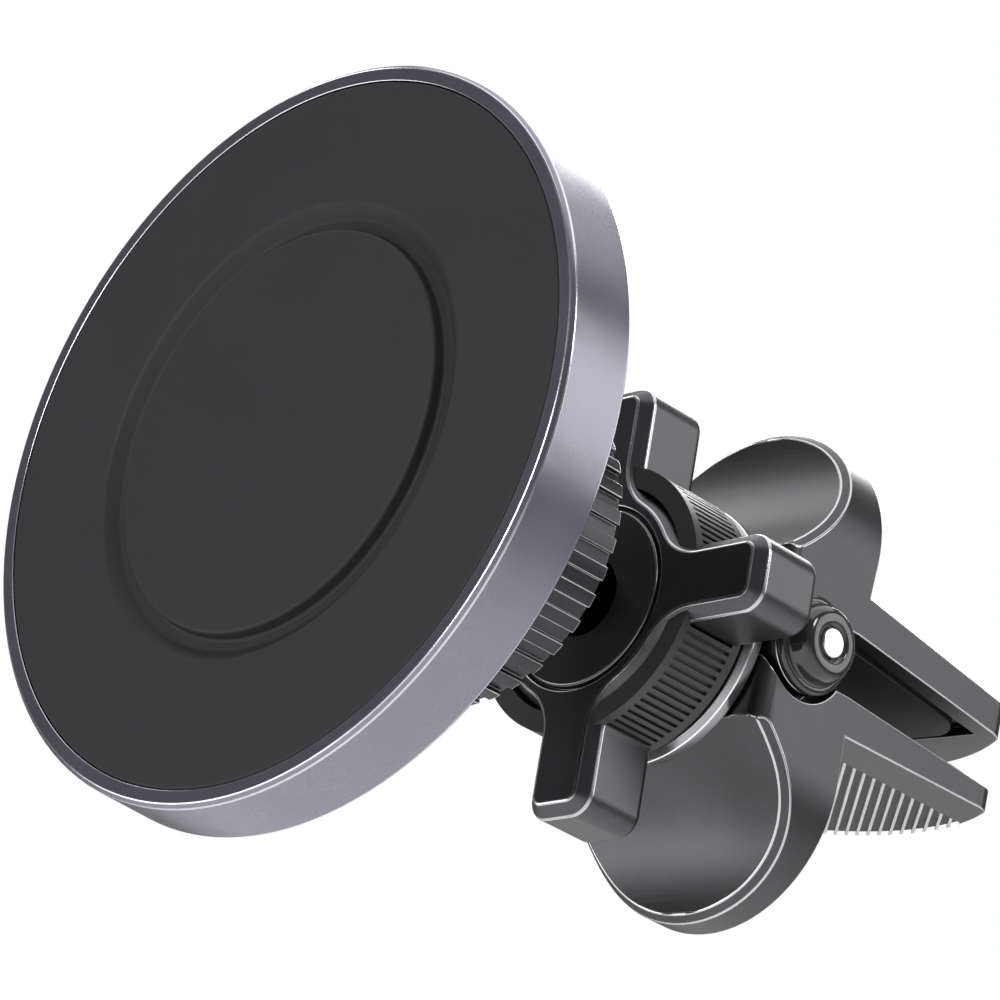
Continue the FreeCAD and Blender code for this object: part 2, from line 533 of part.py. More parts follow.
def lever(label, side, jaw, ear_in, hollow_half):
    """One lever: a scooped wing, two side plates with an ear each, and a jaw."""
    def up(text):
        return text if side > 0 else "-(%s)" % text

    owner = body(label)
    far = "jaw_apex + past"
    slab(owner, label + "_side", "Pad", [
        ("lever_front", up("front_split")), ("lever_front", up("wing_start_z")),
        ("arc", "wing_mid_y", up("wing_mid_z")),
        ("wing_tip_y", up("wing_tip_z")), ("wing_back_tip", up("wing_tip_z")),
        ("wing_back_root", up(jaw + "_out_root")), (far, up(jaw + "_out_tip")), (far, up(jaw + "_in_tip")),
        ("jaw_root", up(jaw + "_in_root")), ("pivot_y + split_run", up(jaw + "_in_root")),
        ("pivot_y", up("pivot_split"))],
        "2 * lever_half")
    round_start = up("wing_reach - lever_half")
    slab(owner, label + "_wing_end", "Pocket", [
        ("-lever_half - past", round_start), ("-lever_half", round_start), ("arc", "0", up("wing_reach")),
        ("lever_half", round_start), ("lever_half + past", round_start),
        ("lever_half + past", up("wing_tip_z + past")),
        ("-lever_half - past", up("wing_tip_z + past"))], "4 * jaw_apex", plane="XZ_Plane")
    slab(owner, label + "_jaw_end", "Pocket", [
        ("-lever_half - past", "jaw_tip"), ("-lever_half", "jaw_tip"), ("arc", "0", "jaw_apex"),
        ("lever_half", "jaw_tip"), ("lever_half + past", "jaw_tip"), ("lever_half + past", far + " + past"),
        ("-lever_half - past", far + " + past")], "4 * wing_tip_z", plane="XY_Plane")
    doc.recompute()
    ease(owner, "Chamfer", label + "_wing_bevel", on_wing_rim, "wing_bevel")
    ease(owner, "Fillet", label + "_jaw_corners",
         lambda p: abs(abs(p.x) - SIZES["lever_half"]) < NEAR and abs(p.y - SIZES["jaw_tip"]) < NEAR,
         "jaw_corner")
    ease(owner, "Fillet", label + "_front_rounds",
         lambda p: abs(abs(p.x) - SIZES["lever_half"]) < NEAR and abs(p.y - SIZES["lever_front"]) < NEAR,
         "front_round")
    drum(owner, label + "_hollow", "Pocket", "hollow", "2 * (%s)" % hollow_half, x="pivot_y")
    slab(owner, label + "_front_gate", "Pocket", [
        ("lever_front - past", up("0")), ("lever_front + gate_deep", up("0")),
        ("lever_front + gate_deep", up("hollow_top")),
        ("lever_front - past", up("hollow_top"))], "2 * (%s)" % hollow_half)
    ear_thick = "(%s) - (%s)" % (ear_in[1], ear_in[0])
    ear_middle = "((%s) + (%s)) / 2" % (ear_in[1], ear_in[0])
    for ear_number, sign in enumerate(("", "-")):
        if side < 0:
            drum(owner, "%s_notch_%d" % (label, ear_number), "Pocket", "ear + notch_gap",
                 "lever_half - (%s)" % ear_in[1], x="pivot_y",
                 offset="%s((lever_half + (%s)) / 2)" % (sign, ear_in[1]))
        drum(owner, "%s_ear_%d" % (label, ear_number), "Pad", "ear", ear_thick, x="pivot_y",
             offset="%s(%s)" % (sign, ear_middle))
    drum(owner, label + "_pin_hole", "Pocket", "pin + run_gap", "2 * lever_half + past", x="pivot_y")
    inner, proud = jaw + "_in_", jaw + "_lining_proud"
    start, end = "lining_start - lining_gap", "lining_end + lining_gap"
    deep = "lining_thick - %s" % proud
    slab(owner, label + "_lining_seat", "Pocket", [
        (start, up(slope(inner + "root", inner + "tip", start) + " - past")),
        (end, up(slope(inner + "root", inner + "tip", end) + " - past")),
        (end, up(slope(inner + "root", inner + "tip", end) + " + " + deep)),
        (start, up(slope(inner + "root", inner + "tip", start) + " + " + deep))],
        "2 * (lining_half + lining_gap)")
    outer = jaw + "_out_"
    slab(owner, label + "_grip_seat", "Pocket", [
        ("grip_start", up(slope(outer + "root", outer + "tip", "grip_start") + " - grip_recess")),
        (far, up(slope(outer + "root", outer + "tip", far) + " - grip_recess")),
        (far, up(slope(outer + "root", outer + "tip", far) + " + past")),
        ("grip_start", up(slope(outer + "root", outer + "tip", "grip_start") + " + past"))],
        "2 * grip_half")
    return owner


lever("upper_lever", 1, "upper", ("ear_outer_in", "lever_half"), "ear_outer_in")
lever("lower_lever", -1, "lower", ("ear_inner_in", "ear_outer_in - ear_side_gap"), "ear_inner_in")


def lining(label, side, jaw):
    """The soft lining on the gripping face of a jaw."""
    def up(text):
        return text if side > 0 else "-(%s)" % text

    owner = body(label)
    inner, proud = jaw + "_in_", jaw + "_lining_proud"
    faces = [slope(inner + "root", inner + "tip", y) + " - " + proud for y in ("lining_start", "lining_end")]
    low = [up(face) for face in faces]
    high = [up(face + " + lining_thick") for face in faces]
    slab(owner, label + "_slab", "Pad", [
        ("lining_start", low[0]), ("lining_end", low[1]), ("lining_end", high[1]), ("lining_start", high[0])],
        "2 * lining_half")
    ease(owner, "Fillet", label + "_corners",
         lambda p: abs(abs(p.x) - SIZES["lining_half"]) < NEAR and abs(p.y - SIZES["lining_end"]) < NEAR,
         "lining_corner")
    ease(owner, "Fillet", label + "_start_corners",
         lambda p: abs(abs(p.x) - SIZES["lining_half"]) < NEAR and abs(p.y - SIZES["lining_start"]) < NEAR,
         "lining_corner / 2")
    return owner


lining("upper_jaw_lining", 1, "upper")
lining("lower_jaw_lining", -1, "lower")


def grip_plate(label, side, jaw):
    """The ribbed plate let into the outer face of a jaw, with ribs across it at an angle."""
    half, start, apex, tip = (SIZES[key] for key in ("grip_half", "grip_start", "jaw_apex", "jaw_tip"))
    base_thick = SIZES["grip_recess"] - SIZES["grip_rise"]
    width = SIZES["lever_half"]
    past = SIZES["past"]
    plate = Part.makeBox(2 * half, apex + past - start, base_thick, FreeCAD.Vector(-half, start, 0))
    count = int((apex + 2 * half - start) / SIZES["grip_pitch"]) + 1
    ribs = []
    for step in range(count):
        rib = Part.makeBox(SIZES["grip_rib"], 4 * half, SIZES["grip_rise"],
                           FreeCAD.Vector(-SIZES["grip_rib"] / 2, -2 * half, base_thick))
        rib.rotate(FreeCAD.Vector(0, 0, 0), FreeCAD.Vector(0, 0, 1), SIZES["grip_angle"])
        rib.translate(FreeCAD.Vector(0, start - half + step * SIZES["grip_pitch"], 0))
        ribs.append(rib)
    edge = Part.Arc(FreeCAD.Vector(width, tip, 0), FreeCAD.Vector(0, apex, 0), FreeCAD.Vector(-width, tip, 0))
    front = [FreeCAD.Vector(-width, start, 0), FreeCAD.Vector(width, start, 0)]
    region = Part.Wire([edge.toShape(), Part.makeLine(edge.EndPoint, front[0]), Part.makeLine(*front),
                        Part.makeLine(front[1], edge.StartPoint)])
    region = Part.Face(region).extrude(FreeCAD.Vector(0, 0, past))
    strip = Part.makeBox(2 * half, 2 * apex, past, FreeCAD.Vector(-half, 0, 0))
    shape = plate.fuse(ribs).common(region).common(strip).removeSplitter()
    lift = number(slope(jaw + "_out_root", jaw + "_out_tip", "grip_start") + " - grip_recess")
    fall = math.degrees(math.atan((SIZES[jaw + "_out_tip"] - SIZES[jaw + "_out_root"])
                                  / (apex + past - SIZES["jaw_root"])))
    shape.rotate(FreeCAD.Vector(0, start, 0), FreeCAD.Vector(1, 0, 0), fall)
    shape.translate(FreeCAD.Vector(0, 0, lift))
    if side < 0:
        shape = shape.mirror(FreeCAD.Vector(0, 0, 0), FreeCAD.Vector(0, 0, 1))
    made = doc.addObject("Part::Feature", label)
    made.Shape = shape
    return keep(made, label)


grip_plate("upper_jaw_grip", 1, "upper")
grip_plate("lower_jaw_grip", -1, "lower")

# ---- check and write ----

doc.recompute()
faults = [item.Name for item in doc.Objects if "Invalid" in item.State or "Error" in item.State]
for thing in parts:
    shape = thing.Shape
    if shape.isNull() or not shape.isValid() or shape.Volume < LEAST_VOLUME:
        faults.append(thing.Label)
if faults:
    raise RuntimeError("these pieces failed: " + ", ".join(faults))
os.makedirs("parts", exist_ok=True)
for thing in parts:
    thing.Shape.exportStep("parts/%s.step" % thing.Label)
    print("%-18s %2d solid(s) %9.1f mm3" % (thing.Label, len(thing.Shape.Solids), thing.Shape.Volume))
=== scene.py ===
# %% [markdown]
# # A vent-clip phone mount, dressed for the studio
#
# The model arrives as plain solids on moving bodies.  This lesson keeps every size and joint as it
# came and adds what the solids lack: softened edges, real finishes, light and a camera.

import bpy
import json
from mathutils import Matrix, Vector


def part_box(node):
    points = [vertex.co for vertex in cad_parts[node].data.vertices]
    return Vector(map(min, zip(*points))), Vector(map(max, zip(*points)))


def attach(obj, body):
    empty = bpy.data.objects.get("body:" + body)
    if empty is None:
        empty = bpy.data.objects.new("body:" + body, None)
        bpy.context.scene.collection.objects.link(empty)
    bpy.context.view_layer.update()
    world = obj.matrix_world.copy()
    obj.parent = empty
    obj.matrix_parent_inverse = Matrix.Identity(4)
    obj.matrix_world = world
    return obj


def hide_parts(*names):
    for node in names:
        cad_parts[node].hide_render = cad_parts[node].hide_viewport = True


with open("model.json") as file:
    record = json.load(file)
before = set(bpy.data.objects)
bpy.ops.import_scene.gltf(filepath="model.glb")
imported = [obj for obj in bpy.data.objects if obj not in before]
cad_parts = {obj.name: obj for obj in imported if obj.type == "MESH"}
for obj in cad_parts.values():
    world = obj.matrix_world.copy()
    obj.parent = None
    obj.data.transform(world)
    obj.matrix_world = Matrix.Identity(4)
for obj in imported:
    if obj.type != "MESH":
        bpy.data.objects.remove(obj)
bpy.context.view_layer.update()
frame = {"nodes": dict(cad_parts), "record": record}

# %% [markdown]
# ## Tools and lookups
#
# Two small tables say which moving body each solid belongs to, and which material slot it uses.

# %% Tools for the rest
import json
import math

import bmesh
import bpy
from mathutils import Matrix, Vector

MM = 0.001
nodes = frame["nodes"]
body_of_node = {node: body for body, members in frame["record"]["behaviour"]["bodies"].items()
                for node in members}
slot_of_node = {row["node"]: row["material_slot"] for row in frame["record"]["subparts"]}

# %% [markdown]
# ## Shader maths as sums
#
# A finish is easier to read as arithmetic than as a web of boxes.  A Signal is one value in a
# shader tree, and adding or multiplying signals adds the Math nodes.  A Board makes any other node.

# %% Signals and boards


class Signal:
    """One output in a shader tree."""

    def __init__(self, board, socket):
        self.board = board
        self.socket = socket

    def math(self, operation, first, second):
        return self.board.node("ShaderNodeMath", {"operation": operation}, {0: first, 1: second})

    def __add__(self, other):
        return self.math("ADD", self, other)

    __radd__ = __add__

    def __sub__(self, other):
        return self.math("SUBTRACT", self, other)

    def __mul__(self, other):
        return self.math("MULTIPLY", self, other)


class Board:
    """A material's tree, and the one way that nodes are added to it."""

    def __init__(self, name):
        self.material = bpy.data.materials.new(name)
        self.material.use_nodes = True
        self.tree = self.material.node_tree
        self.shader = self.tree.nodes["Principled BSDF"]
        self.place = self.node("ShaderNodeTexCoord", output="Object")

    def node(self, kind, settings=None, inputs=None, output=0):
        made = self.tree.nodes.new(kind)
        for key, value in (settings or {}).items():
            if key == "stops":
                low, high = made.color_ramp.elements
                low.position, high.position = value
            else:
                setattr(made, key, value)
        for key, value in (inputs or {}).items():
            self.feed(made.inputs[key], value)
        return Signal(self, made.outputs[output])

    def feed(self, socket, value):
        if isinstance(value, Signal):
            self.tree.links.new(value.socket, socket)
        else:
            socket.default_value = value

    def noise(self, size, detail=2.0, stretch=(1, 1, 1)):
        """Noise whose features are about size millimetres across."""
        place = self.place
        if stretch != (1, 1, 1):
            place = self.node("ShaderNodeMapping", inputs={"Vector": place, "Scale": stretch})
        return self.node("ShaderNodeTexNoise",
                         inputs={"Vector": place, "Scale": 1 / (size * MM), "Detail": detail})

    def ramp(self, value, low, high):
        """Zero below low, one above high."""
        return self.node("ShaderNodeValToRGB", {"stops": (low, high)}, {0: value})

    def blend(self, share, first, second):
        """Mix two colours."""
        return self.node("ShaderNodeMix", {"data_type": "RGBA"}, {0: share, 6: first, 7: second},
                         output=2)


print("shader tools ready")

# %% [markdown]
# ## One recipe for every finish
#
# Anodised alloy, moulded plastic, rubber and plate differ in numbers more than in kind.  Each has a
# colour that drifts a little, a grain that catches the light, patches that are more or less
# polished by hands, and small marks.  So one recipe takes those numbers, and each material differs
# by what it is given.

# %% The finish recipe
MICROMETRE = 1e-6
CLOUD_SIZE = 9.0            # millimetres across one patch of colour
CLOUD_DETAIL = 3.0
CLOUD_STOPS = (0.3, 0.7)
GRAIN_DETAIL = 2.0
GRAIN_STOPS = (0.35, 0.75)
GRAIN_SHARE = 1.5           # how strongly the grain tints, as a multiple of the drift
GRAIN_GAIN = 1.6            # how much lighter than the base a grain's top is
GRAIN_LIFT = 0.01
MARK_SIZE = 1.4
MARK_DETAIL = 6.0
MARK_STRETCH = (1, 7, 1)
MARK_STOPS = (0.62, 0.70)
MARK_DULLING = 0.15
COAT_ROUGHNESS = 0.08


def finish(name, colour, roughness, metallic, grain, depth, drift=0.12, gloss_drift=0.06, marks=0.0,
           coat=0.0, specular=0.5):
    """A material: grain is in millimetres, depth is the grain's height in micrometres."""
    board = Board(name)
    cloud = board.noise(CLOUD_SIZE, CLOUD_DETAIL)
    fine = board.noise(grain, GRAIN_DETAIL)
    shade = board.ramp(cloud, *CLOUD_STOPS)
    darker = [channel * (1 - drift) for channel in colour] + [1]
    lighter = [min(1.0, channel * (1 + drift)) for channel in colour] + [1]
    tint = board.blend(shade, darker, lighter)
    tint = board.blend(board.ramp(fine, *GRAIN_STOPS) * (drift * GRAIN_SHARE), tint,
                       [min(1.0, channel * GRAIN_GAIN + GRAIN_LIFT) for channel in colour] + [1])
    gloss = roughness + (cloud - 0.5) * (2 * gloss_drift) + (fine - 0.5) * gloss_drift
    if marks:
        streaks = board.noise(MARK_SIZE, MARK_DETAIL, MARK_STRETCH)
        scratch = board.ramp(streaks, *MARK_STOPS) * marks
        tint = board.blend(scratch, tint, lighter)
        gloss = gloss + scratch * MARK_DULLING
    board.feed(board.shader.inputs["Base Color"], tint)
    board.feed(board.shader.inputs["Roughness"], gloss)
    board.feed(board.shader.inputs["Metallic"], metallic)
    board.feed(board.shader.inputs["Specular IOR Level"], specular)
    if coat:
        board.feed(board.shader.inputs["Coat Weight"], coat)
        board.feed(board.shader.inputs["Coat Roughness"], COAT_ROUGHNESS)
    bump = board.node("ShaderNodeBump",
                      inputs={"Height": fine, "Distance": depth * MICROMETRE, "Strength": 1.0})
    board.feed(board.shader.inputs["Normal"], bump)
    return board.material


print("finish recipe ready")

# %% [markdown]
# ## The finishes of this mount
#
# The pad is matt moulded plastic with hardly any shine.  The bezel is violet-grey anodised alloy
# with a sparkling grain.  The wheel, nut, levers and core are dark satin alloy, and each of them has
# a second, much lighter copy of its finish for its bevels: a painted highlight along the edges.

# %% Finishes
# The second finish in a list is a lighter copy of the first, a painted highlight for bevels and rib tops.
looks = {
    "pad_plastic": [finish("pad matt", (0.017, 0.017, 0.0185), 0.6, 0.0, 0.16, 5, drift=0.04,
                           gloss_drift=0.02, specular=0.25)],
    "bezel_alloy": [
        finish("bezel satin", (0.235, 0.228, 0.268), 0.28, 1.0, 0.10, 3.0, drift=0.05, gloss_drift=0.05,
               marks=0.10),
        finish("bezel edge highlight", (0.60, 0.59, 0.64), 0.18, 1.0, 0.12, 1, drift=0.04)],
    "carrier_plastic": [finish("carrier", (0.03, 0.03, 0.032), 0.6, 0.0, 0.2, 6)],
    "magnet_plating": [finish("magnet plate", (0.72, 0.71, 0.69), 0.18, 1.0, 0.3, 1, marks=0.2)],
    "shield_steel": [finish("shield", (0.42, 0.42, 0.43), 0.35, 1.0, 0.3, 3, marks=0.2)],
    "cover_plastic": [finish("cover", (0.024, 0.024, 0.026), 0.42, 0.0, 0.22, 9),
                      finish("cover edge highlight", (0.035, 0.035, 0.037), 0.35, 0.0, 0.2, 4)],
    "screw_steel": [finish("screw", (0.16, 0.16, 0.165), 0.28, 1.0, 0.2, 2, marks=0.3),
                    finish("screw edge highlight", (0.5, 0.5, 0.5), 0.2, 1.0, 0.2, 1)],
    "socket_plastic": [finish("socket", (0.02, 0.02, 0.021), 0.38, 0.0, 0.2, 5)],
    "liner_plastic": [finish("liner", (0.6, 0.59, 0.55), 0.5, 0.0, 0.2, 3)],
    "stud_steel": [finish("stud", (0.10, 0.10, 0.105), 0.22, 1.0, 0.25, 2, marks=0.2)],
    "nut_alloy": [finish("nut satin", (0.055, 0.055, 0.058), 0.33, 1.0, 0.14, 4, marks=0.1),
                  finish("nut edge highlight", (0.42, 0.42, 0.43), 0.22, 1.0, 0.12, 2)],
    "wheel_alloy": [finish("wheel satin", (0.090, 0.090, 0.094), 0.34, 1.0, 0.15, 6, marks=0.12),
                    finish("wheel bevel highlight", (0.48, 0.48, 0.49), 0.24, 1.0, 0.12, 2)],
    "trim_alloy": [finish("trim black", (0.012, 0.012, 0.013), 0.36, 0.0, 0.15, 3),
                   finish("trim bevel highlight", (0.2, 0.2, 0.205), 0.25, 1.0, 0.12, 2)],
    "grip_rubber": [finish("grip rubber", (0.034, 0.034, 0.034), 0.48, 0.0, 0.16, 6)],
    "insert_brass": [finish("insert", (0.55, 0.38, 0.14), 0.3, 1.0, 0.2, 2)],
    "ring_alloy": [finish("ring satin", (0.34, 0.34, 0.35), 0.22, 1.0, 0.15, 3),
                   finish("ring edge highlight", (0.85, 0.85, 0.86), 0.15, 1.0, 0.12, 1)],
    "core_alloy": [finish("core satin", (0.10, 0.10, 0.103), 0.32, 1.0, 0.15, 5),
                   finish("core edge highlight", (0.4, 0.4, 0.41), 0.25, 1.0, 0.12, 2)],
    "pin_steel": [finish("pin", (0.92, 0.92, 0.93), 0.22, 1.0, 0.2, 1, drift=0.03)],
    "cap_plastic": [finish("cap gloss", (0.016, 0.016, 0.017), 0.14, 0.0, 0.3, 2, coat=0.6)],
    "spring_steel": [finish("spring", (0.45, 0.45, 0.46), 0.25, 1.0, 0.3, 2)],
    "lever_alloy": [finish("lever satin", (0.078, 0.078, 0.081), 0.36, 1.0, 0.15, 6, marks=0.12),
                    finish("lever bevel highlight", (0.50, 0.50, 0.51), 0.24, 1.0, 0.12, 2)],
    "lining_rubber": [finish("lining rubber", (0.012, 0.012, 0.012), 0.5, 0.0, 0.18, 8)],
    "jaw_grip_alloy": [finish("jaw grip satin", (0.040, 0.040, 0.041), 0.42, 1.0, 0.14, 4),
                       finish("jaw grip rib highlight", (0.62, 0.62, 0.63), 0.3, 1.0, 0.12, 2)],
}
print(len(looks), "slots dressed")

# %% [markdown]
# ## Softened edges
#
# A solid straight from CAD has knife edges, which never catch the light.  A machined or moulded
# edge is a small round.  Each visible solid is copied, its loose triangles are joined, its edges
# get a narrow bevel, and the bevel's own faces take the piece's lighter edge finish, a painted
# highlight.  The normals are weighted by area, so flat faces stay flat right up to the round.

# %% The copying tool
JOIN = 1e-6
FLAT_DEG = 0.3
BEVEL_DEG = 27
BEVEL_SEGMENTS = 3


def softened(node, width, clamp=True):
    """A copy of one solid with edges rounded by width millimetres, standing in its place."""
    slot = slot_of_node[node]
    mesh = nodes[node].data.copy()
    shape = bmesh.new()
    shape.from_mesh(mesh)
    bmesh.ops.remove_doubles(shape, verts=shape.verts, dist=JOIN)
    bmesh.ops.dissolve_limit(shape, angle_limit=math.radians(FLAT_DEG), verts=shape.verts,
                             edges=shape.edges)
    for face in shape.faces:
        face.smooth = True
        face.material_index = 0
    shape.to_mesh(mesh)
    shape.free()
    piece = bpy.data.objects.new(node + ".soft", mesh)
    bpy.context.scene.collection.objects.link(piece)
    mesh.materials.clear()
    for look in looks[slot]:
        mesh.materials.append(look)
    if width:
        edge = piece.modifiers.new("edges", "BEVEL")
        edge.width = width * MM
        edge.segments = BEVEL_SEGMENTS
        edge.limit_method = "ANGLE"
        edge.angle_limit = math.radians(BEVEL_DEG)
        # The bevel faces take the lighter second finish, a painted highlight along the edges.
        edge.material = 1 if len(looks[slot]) > 1 else -1
        edge.use_clamp_overlap = clamp
    piece.modifiers.new("normals", "WEIGHTED_NORMAL").keep_sharp = True
    settled = piece.evaluated_get(bpy.context.evaluated_depsgraph_get())
    final = bpy.data.meshes.new_from_object(settled)
    piece.modifiers.clear()
    piece.data = final
    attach(piece, body_of_node[node])
    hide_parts(node)
    print("%-22s %6d faces" % (piece.name, len(final.polygons)))
    return piece


print("copying tool ready")

# %% [markdown]
# ## Each solid's rounds
#
# Moulded pieces have the widest rounds and finely cut ones the narrowest.  A width of zero keeps the
# edges as they came.  The levers' rims are thin, and a clamped bevel would shrink to nothing on
# them, so theirs is left unclamped.

# %% The visible solids, each with the width of its rounds
ROUNDS = {
    "face_pad": 0.25, "bezel_ring": 0.09, "back_cover": 0.25, "ball_socket": 0.12, "ball_stud": 0.0,
    "socket_nut": 0.07, "star_wheel": 0.16, "hub_trim": 0.06, "grip_panels": 0.04, "thrust_ring": 0.08,
    "clip_yoke": 0.15, "pivot_pin": 0.15, "torsion_spring": 0.0, "upper_lever": 0.11,
    "lower_lever": 0.11, "upper_jaw_lining": 0.15, "lower_jaw_lining": 0.15, "upper_jaw_grip": 0.05,
    "lower_jaw_grip": 0.05,
}
made = {node: softened(node, width, clamp="lever" not in node) for node, width in ROUNDS.items()}

# %% [markdown]
# The back cover's sloping rim is cut into long, uneven triangles, and a normal averaged from those
# would streak the highlight.  A cone's true normal is known at any point, so it is set by hand.

# %% True normals on the cover's slope
cover = made["back_cover"].data
SLOPE_RISE = 2.26
SLOPE_RUN = 7.55
SLOPE_MATCH = 0.02
FACES_BACK = 0.9
SLOPE = Vector((SLOPE_RISE, SLOPE_RUN)).normalized()
normals = [corner.vector.copy() for corner in cover.corner_normals]
straightened = 0
for face in cover.polygons:
    spoke = Vector((face.center.x, 0, face.center.z)).normalized()
    if abs(face.normal.dot(spoke) - SLOPE.x) < SLOPE_MATCH and face.normal.y > FACES_BACK:
        for loop in face.loop_indices:
            place = cover.vertices[cover.loops[loop].vertex_index].co
            out = Vector((place.x, 0, place.z)).normalized()
            normals[loop] = Vector((out.x * SLOPE.x, SLOPE.y, out.z * SLOPE.x))
            straightened += 1
cover.normals_split_custom_set(normals)
print(straightened, "normals set on the slope")

# %% [markdown]
# The ribs on the jaws get a painted highlight along their tops, the same lighter finish as their
# bevelled edges.  A rib's top is any face that looks straight out of the plate and lies within a
# tenth of a millimetre of its height.

# %% Painted highlight on the rib tops
RIB_FACING = 0.99
RIB_BAND = 0.1 * MM
for node, side in (("upper_jaw_grip", 1), ("lower_jaw_grip", -1)):
    faces = made[node].data.polygons
    outward = max(faces, key=lambda face: face.area * side * face.normal.z).normal
    tallest = max(face.center.dot(outward) for face in faces)
    painted_highlight_faces = 0
    for face in faces:
        if face.normal.dot(outward) > RIB_FACING and face.center.dot(outward) > tallest - RIB_BAND:
            # Painted highlight: the rib top takes the lighter second finish.
            face.material_index = 1
            painted_highlight_faces += 1
    print(painted_highlight_faces, "bright faces on", node)

# %% [markdown]
# The pivot caps are small turned plugs.  They are so small that the solid's facets show on the dome,
# so each one is turned again here from its own profile, on a finer circle.

# %% Turned caps
CAP_PROFILE = [(1.2, 0.0), (3.9, 0.0), (4.0, 0.1), (4.0, 0.5), (3.93, 0.67), (3.76, 0.78), (3.5, 0.8),
               (3.32, 0.82), (3.28, 1.1), (3.22, 1.5), (3.1, 1.9), (2.9, 2.25), (2.62, 2.48), (2.3, 2.6),
               (1.75, 2.6), (1.55, 2.52), (1.42, 2.3), (1.2, 2.25)]
TURN_STEPS = 96


def turned_cap(node, side):
    """A cap turned about the pivot pin's line; side is +1 on the right and -1 on the left."""
    low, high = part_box(node)
    centre = (low + high) / 2
    base = low.x if side > 0 else high.x
    rings = [[(base + side * height * MM, centre.y + radius * MM * math.cos(angle),
               centre.z + radius * MM * math.sin(angle))
              for angle in (2 * math.pi * step / TURN_STEPS for step in range(TURN_STEPS))]
             for radius, height in CAP_PROFILE]
    points = [point for ring in rings for point in ring]
    faces = []
    for level in range(len(rings)):
        for step in range(TURN_STEPS):
            after, above = (step + 1) % TURN_STEPS, (level + 1) % len(rings)
            faces.append((level * TURN_STEPS + step, level * TURN_STEPS + after,
                          above * TURN_STEPS + after, above * TURN_STEPS + step))
    mesh = bpy.data.meshes.new(node + ".turned")
    mesh.from_pydata(points, [], faces)
    shape = bmesh.new()
    shape.from_mesh(mesh)
    bmesh.ops.recalc_face_normals(shape, faces=shape.faces)
    for face in shape.faces:
        face.smooth = True
    shape.to_mesh(mesh)
    shape.free()
    mesh.materials.append(looks["cap_plastic"][0])
    cap = bpy.data.objects.new(node + ".turned", mesh)
    bpy.context.scene.collection.objects.link(cap)
    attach(cap, body_of_node[node])
    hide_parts(node)


turned_cap("right_pivot_cap", 1)
turned_cap("left_pivot_cap", -1)
print("two caps turned in", TURN_STEPS, "steps")

# %% [markdown]
# The three screws in the back cover are one shape set evenly round a circle, which is work for
# Geometry Nodes.  The tree makes a disc head with a hexagon socket sunk in it, stands it at each
# point of a circle, and joins the copies.  Its sizes repeat those of the solids it stands in for.

# %% The screw tree
SCREW = {"Circle": 16.6, "Head": 1.8, "Thick": 1.1, "Socket": 0.85, "Sunk": 0.6}    # millimetres
SCREW_COUNT = 3
HEAD_SIDES = 48
SOCKET_SIDES = 6


def screw_tree(look):
    """Heads with a hexagon socket round a circle, built flat about the Z axis."""
    tree = bpy.data.node_groups.new("cover screw ring", "GeometryNodeTree")
    tree.interface.new_socket("Geometry", in_out="OUTPUT", socket_type="NodeSocketGeometry")
    sizes = {}
    for label, value in SCREW.items():
        made = tree.interface.new_socket(label, in_out="INPUT", socket_type="NodeSocketFloat")
        made.default_value = value * MM
        sizes[label] = made.identifier
    count = tree.interface.new_socket("Count", in_out="INPUT", socket_type="NodeSocketInt")
    count.default_value = SCREW_COUNT
    sizes["Count"] = count.identifier
    given = tree.nodes.new("NodeGroupInput")
    result = tree.nodes.new("NodeGroupOutput")

    def step(kind, links, **settings):
        node = tree.nodes.new(kind)
        for key, value in settings.items():
            setattr(node, key, value)
        for key, value in links.items():
            if isinstance(value, bpy.types.NodeSocket):
                tree.links.new(value, node.inputs[key])
            else:
                node.inputs[key].default_value = value
        return node

    head = step("GeometryNodeMeshCylinder", {"Vertices": HEAD_SIDES, "Radius": given.outputs["Head"],
                                             "Depth": given.outputs["Thick"]})
    wall = step("GeometryNodeMeshCylinder", {"Vertices": SOCKET_SIDES, "Radius": given.outputs["Socket"],
                                             "Depth": given.outputs["Sunk"]})
    half = step("ShaderNodeMath", {0: given.outputs["Thick"], 1: 0.5}, operation="MULTIPLY")
    lift = step("ShaderNodeCombineXYZ", {"Z": half.outputs[0]})
    raised = step("GeometryNodeTransform", {"Geometry": wall.outputs["Mesh"],
                                            "Translation": lift.outputs[0]})
    cut = step("GeometryNodeMeshBoolean", {"Mesh 1": head.outputs["Mesh"], "Mesh 2": raised.outputs[0]},
               operation="DIFFERENCE")
    ring = step("GeometryNodeMeshCircle", {"Vertices": given.outputs["Count"],
                                           "Radius": given.outputs["Circle"]})
    placed = step("GeometryNodeInstanceOnPoints", {"Points": ring.outputs["Mesh"],
                                                   "Instance": cut.outputs["Mesh"]})
    real = step("GeometryNodeRealizeInstances", {"Geometry": placed.outputs["Instances"]})
    dressed = step("GeometryNodeSetMaterial", {"Geometry": real.outputs["Geometry"],
                                               "Material": look})
    tree.links.new(dressed.outputs["Geometry"], result.inputs["Geometry"])
    return tree, sizes


print("screw tree ready")

# %% [markdown]
# The tree's circle starts on +X about Z.  The screws start on +Z about Y, with their heads at the
# back, so the result is turned and moved on to the solids' rearmost plane.

